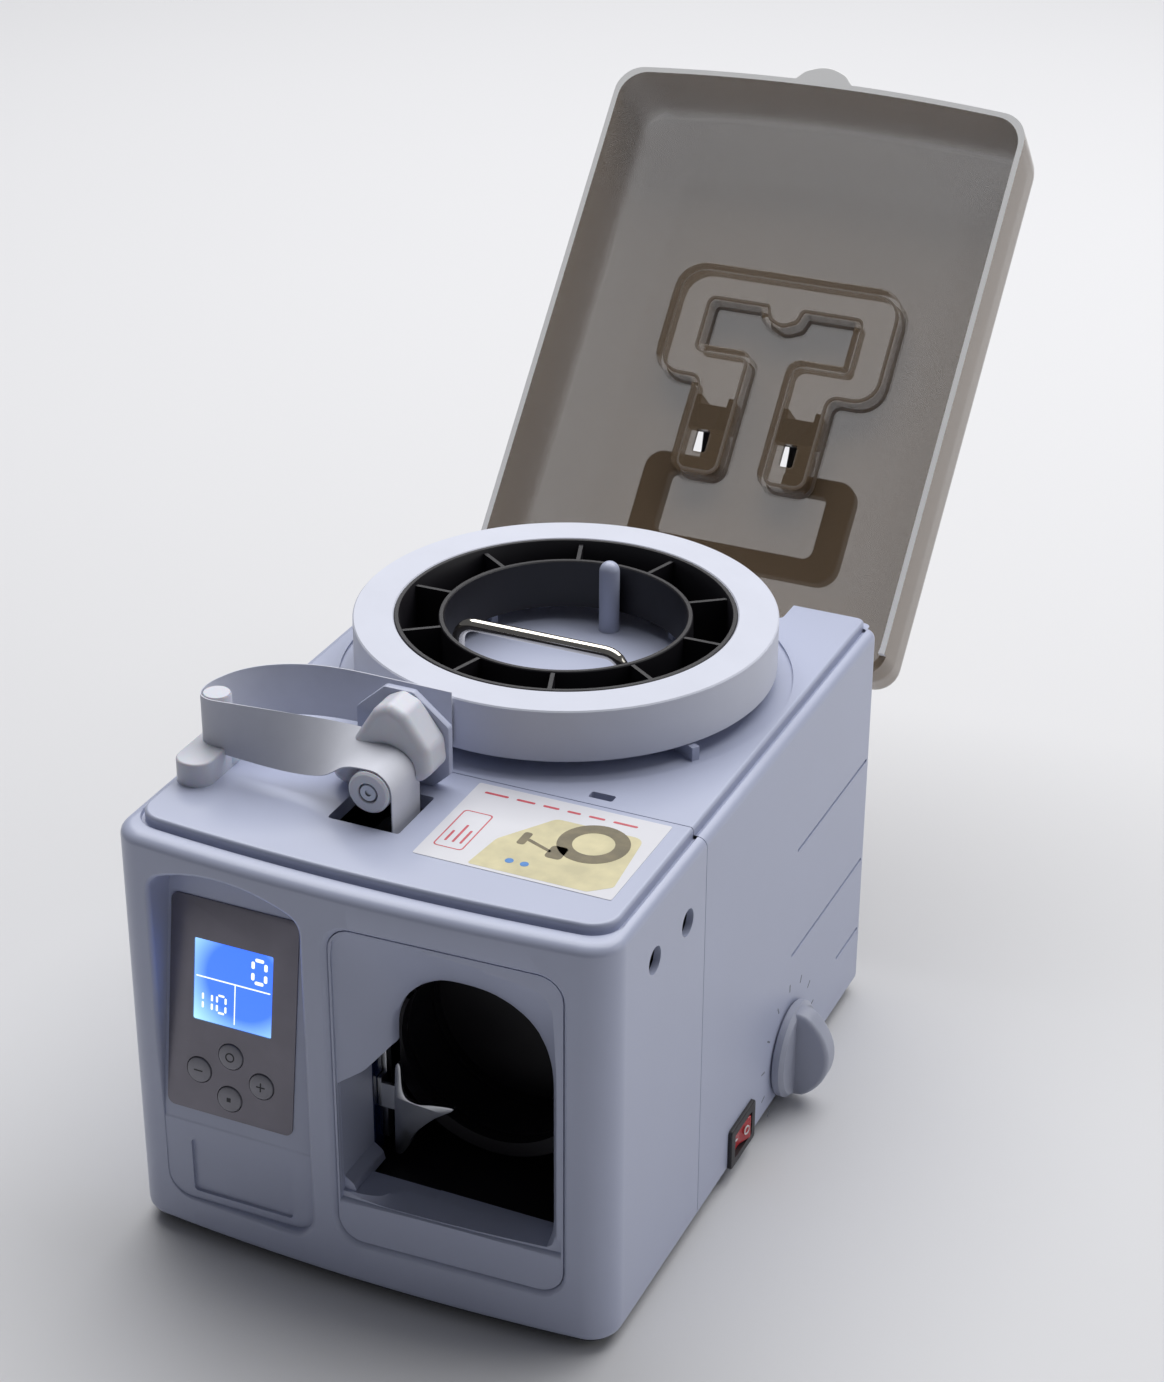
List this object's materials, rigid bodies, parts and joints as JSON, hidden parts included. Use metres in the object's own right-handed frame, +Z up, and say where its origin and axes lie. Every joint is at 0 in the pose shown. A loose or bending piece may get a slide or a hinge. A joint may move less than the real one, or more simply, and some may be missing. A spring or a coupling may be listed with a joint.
{
  "type": "banknote banding machine",
  "caption": "Desktop machine that binds banknote bundles with a paper band: roll deck under a smoked dust lid, front bay, keypad with display, tension knob.",
  "frame": {"origin": "centre of the plane that the four rubber feet stand on", "axes": "+Z up, -Y towards the front with the note bay and the keypad, +X towards the side with the tension knob"},
  "size_m": [0.204, 0.4548, 0.3255],
  "materials": {
    "case_plastic": "moulded ABS, pale blue-grey, satin",
    "front_plastic": "moulded ABS, pale blue-grey, satin",
    "pan_paint": "powder coated sheet steel",
    "foot_rubber": "matt black rubber",
    "black_plastic": "black moulded plastic",
    "sensor_plastic": "dark blue infrared window",
    "bare_steel": "zinc plated or bare steel",
    "motor_steel": "plated steel can",
    "chrome_wire": "chromed wire",
    "band_paper": "white banding paper with a coated back",
    "white_nylon": "natural white nylon",
    "label_paper": "glossy printed label",
    "smoked_plastic": "smoked transparent acrylic",
    "knob_plastic": "grey moulded plastic",
    "red_plastic": "red translucent plastic",
    "overlay_film": "metallic grey membrane film",
    "circuit_board": "green circuit board",
    "display_glass": "lit blue display window",
    "key_plastic": "grey printed keys",
    "heater_brass": "machined brass heater"
  },
  "bodies": {
    "machine": {"bottom_pan": "pan_paint", "rubber_feet": "foot_rubber", "front_cover": "front_plastic", "rear_housing": "case_plastic", "bay_funnel": "front_plastic", "bay_liner": "black_plastic", "tape_loop_ring": "black_plastic", "sensor_window": "sensor_plastic", "roll_ribs": "case_plastic", "roll_post": "case_plastic", "carry_handle": "chrome_wire", "handle_nuts": "bare_steel", "paper_tape": "band_paper", "guide_post": "white_nylon", "twist_bracket": "case_plastic", "twist_arch": "white_nylon", "roller_screw": "bare_steel", "loading_label": "label_paper", "lid_hinge_pins": "bare_steel", "potentiometer": "bare_steel", "switch_bezel": "black_plastic", "panel_overlay": "overlay_film", "display_module": "circuit_board", "display_window": "display_glass", "side_screws": "bare_steel", "power_inlet": "black_plastic", "fuse_holder": "black_plastic", "front_plate": "bare_steel", "rear_plate": "bare_steel", "main_motor": "motor_steel", "drive_belt": "foot_rubber", "shaft_bearings": "bare_steel", "feed_motor": "motor_steel", "transformer": "motor_steel", "control_board": "circuit_board", "cooling_fan": "black_plastic", "pan_screws": "bare_steel"},
    "roll": {"tape_core": "black_plastic", "tape_roll": "band_paper"},
    "guide_roller": {"tape_roller": "white_nylon"},
    "lid": {"dust_lid": "smoked_plastic", "handle_brackets": "black_plastic", "handle_pins": "bare_steel"},
    "lid_grip": {"lid_handle": "black_plastic"},
    "knob": {"tension_knob": "knob_plastic", "knob_shaft": "bare_steel"},
    "rocker": {"power_rocker": "red_plastic"},
    "key_up": {"button_up": "key_plastic"},
    "key_left": {"button_left": "key_plastic"},
    "key_right": {"button_right": "key_plastic"},
    "key_down": {"button_down": "key_plastic"},
    "cam_drive": {"cam_pulley": "white_nylon", "cam_shaft": "bare_steel", "press_cam": "bare_steel"},
    "motor_drive": {"motor_pulley": "motor_steel"},
    "feed": {"feed_roller": "foot_rubber"},
    "pinch": {"pinch_roller": "white_nylon"},
    "seal": {"seal_block": "heater_brass"},
    "cutter": {"cutter_blade": "bare_steel"},
    "finger": {"clamp_plate": "bare_steel"}
  },
  "joints": [
    {"name": "roll_spin", "type": "hinge", "parent": "machine", "child": "roll", "pos_m": [0.0012, 0.0404, 0.181], "axis": [0, 0, 1], "continuous": true},
    {"name": "guide_roller_spin", "type": "hinge", "parent": "machine", "child": "guide_roller", "pos_m": [-0.012, -0.078, 0.1785], "axis": [0, 1, 0], "continuous": true},
    {"name": "lid_swing", "type": "hinge", "parent": "machine", "child": "lid", "pos_m": [0, 0.1242, 0.1468], "axis": [1, 0, 0], "range_deg": [0, 131.5]},
    {"name": "lid_grip_swing", "type": "hinge", "parent": "lid", "child": "lid_grip", "pos_m": [0, 0.24114, 0.18647], "axis": [1, 0, 0], "range_deg": [0, 180]},
    {"name": "knob_turn", "type": "hinge", "parent": "machine", "child": "knob", "pos_m": [0.1, 0.044, 0.0225], "axis": [1, 0, 0], "range_deg": [-135, 135]},
    {"name": "rocker_tilt", "type": "hinge", "parent": "machine", "child": "rocker", "pos_m": [0.089, -0.005, 0.0145], "axis": [0, 0, 1], "range_deg": [0, 18]},
    {"name": "key_up_press", "type": "slide", "parent": "machine", "child": "key_up", "axis": [0, 0.989, -0.1478], "range_m": [0, 0.0008], "stiffness_N_per_m": 500},
    {"name": "key_left_press", "type": "slide", "parent": "machine", "child": "key_left", "axis": [0, 0.989, -0.1478], "range_m": [0, 0.0008], "stiffness_N_per_m": 500},
    {"name": "key_right_press", "type": "slide", "parent": "machine", "child": "key_right", "axis": [0, 0.989, -0.1478], "range_m": [0, 0.0008], "stiffness_N_per_m": 500},
    {"name": "key_down_press", "type": "slide", "parent": "machine", "child": "key_down", "axis": [0, 0.989, -0.1478], "range_m": [0, 0.0008], "stiffness_N_per_m": 500},
    {"name": "cam_spin", "type": "hinge", "parent": "machine", "child": "cam_drive", "pos_m": [-0.05, -0.07, 0.075], "axis": [0, 1, 0], "continuous": true},
    {"name": "motor_spin", "type": "hinge", "parent": "machine", "child": "motor_drive", "pos_m": [0.002, -0.046, 0.06], "axis": [0, 1, 0], "continuous": true},
    {"name": "feed_spin", "type": "hinge", "parent": "machine", "child": "feed", "pos_m": [-0.0126, -0.078, 0.1505], "axis": [0, 1, 0], "continuous": true},
    {"name": "pinch_spin", "type": "hinge", "parent": "machine", "child": "pinch", "pos_m": [0.0022, -0.078, 0.1505], "axis": [0, 1, 0], "continuous": true},
    {"name": "seal_press", "type": "slide", "parent": "machine", "child": "seal", "axis": [1, 0, 0], "range_m": [0, 0.006]},
    {"name": "cutter_stroke", "type": "slide", "parent": "machine", "child": "cutter", "axis": [1, 0, 0], "range_m": [0, 0.005]},
    {"name": "finger_slide", "type": "slide", "parent": "machine", "child": "finger", "axis": [1, 0, 0], "range_m": [0, 0.012]}
  ],
  "couplings": [
    {"joint": "motor_spin", "follows": "cam_spin", "ratio": 3.1429},
    {"joint": "pinch_spin", "follows": "feed_spin", "ratio": -1.2542}
  ]
}
